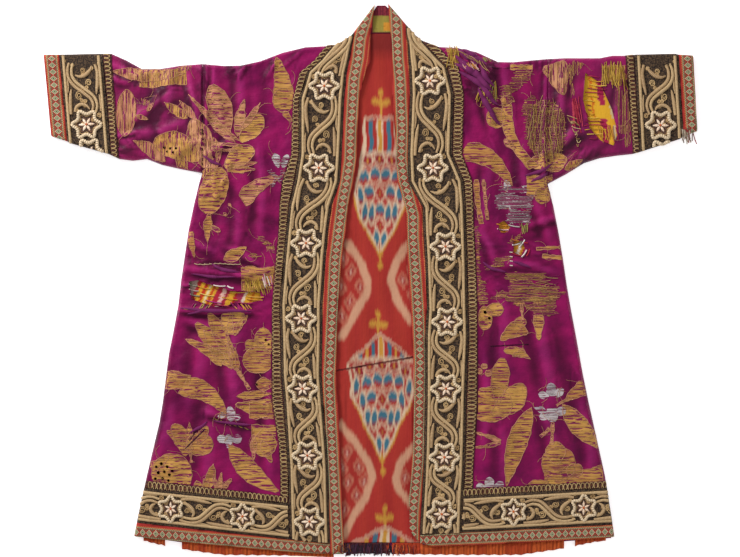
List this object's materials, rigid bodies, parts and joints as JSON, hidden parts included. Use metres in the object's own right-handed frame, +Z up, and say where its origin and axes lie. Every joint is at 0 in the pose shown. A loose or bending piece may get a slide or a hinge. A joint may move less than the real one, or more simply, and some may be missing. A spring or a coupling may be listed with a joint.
{
  "type": "child's robe",
  "caption": "Child's silk robe laid flat and face up, open down the front, with wide couched borders, woven tape, a patterned lining and torn patches.",
  "frame": {"origin": "centre of the bounding box, on the surface the robe lies on", "axes": "+X across the robe from one cuff to the other, to the right in the picture; +Y from the hem to the neck; +Z up from the surface"},
  "size_m": [0.782, 0.6634, 0.0117],
  "materials": {
    "magenta_silk": "worn satin silk with a soft sheen",
    "magenta_silk_back": "worn satin silk with a soft sheen",
    "ikat_lining": "matt cotton and silk",
    "scroll_border": "couched cord on a dark ground",
    "ladder_braid": "looped cord on a dark ground",
    "woven_tape": "matt woven tape",
    "orange_facing": "matt gathered cotton",
    "striped_interlining": "matt loosely woven cotton"
  },
  "bodies": {
    "root": {"back": "magenta_silk_back", "hem_border_back": "scroll_border", "collar_back": "scroll_border", "neck_facing": "orange_facing", "lining_upper": "ikat_lining", "lining_lower": "ikat_lining", "hem_facing_left_end": "orange_facing", "hem_facing_left": "orange_facing", "hem_facing_middle": "orange_facing", "hem_facing_right": "orange_facing", "hem_facing_right_end": "orange_facing", "interlining_left": "striped_interlining", "interlining_right": "striped_interlining", "interlining_sleeve": "striped_interlining", "front_left": "magenta_silk", "front_border_left": "scroll_border", "front_tape_left": "woven_tape", "front_braid_left": "ladder_braid", "hem_border_left": "scroll_border", "hem_braid_left": "ladder_braid", "hem_tape_left": "woven_tape", "sleeve_left_front": "magenta_silk", "sleeve_left_back": "magenta_silk_back", "cuff_border_left_back": "scroll_border", "cuff_border_left": "scroll_border", "cuff_tape_left": "woven_tape", "cuff_braid_left": "ladder_braid", "front_right": "magenta_silk", "front_border_right": "scroll_border", "front_tape_right": "woven_tape", "front_braid_right": "ladder_braid", "hem_border_right": "scroll_border", "hem_braid_right": "ladder_braid", "hem_tape_right": "woven_tape", "sleeve_right_front": "magenta_silk", "sleeve_right_back": "magenta_silk_back", "cuff_border_right_back": "scroll_border", "cuff_border_right": "scroll_border", "cuff_tape_right": "woven_tape", "cuff_braid_right": "ladder_braid"}
  },
  "joints": []
}
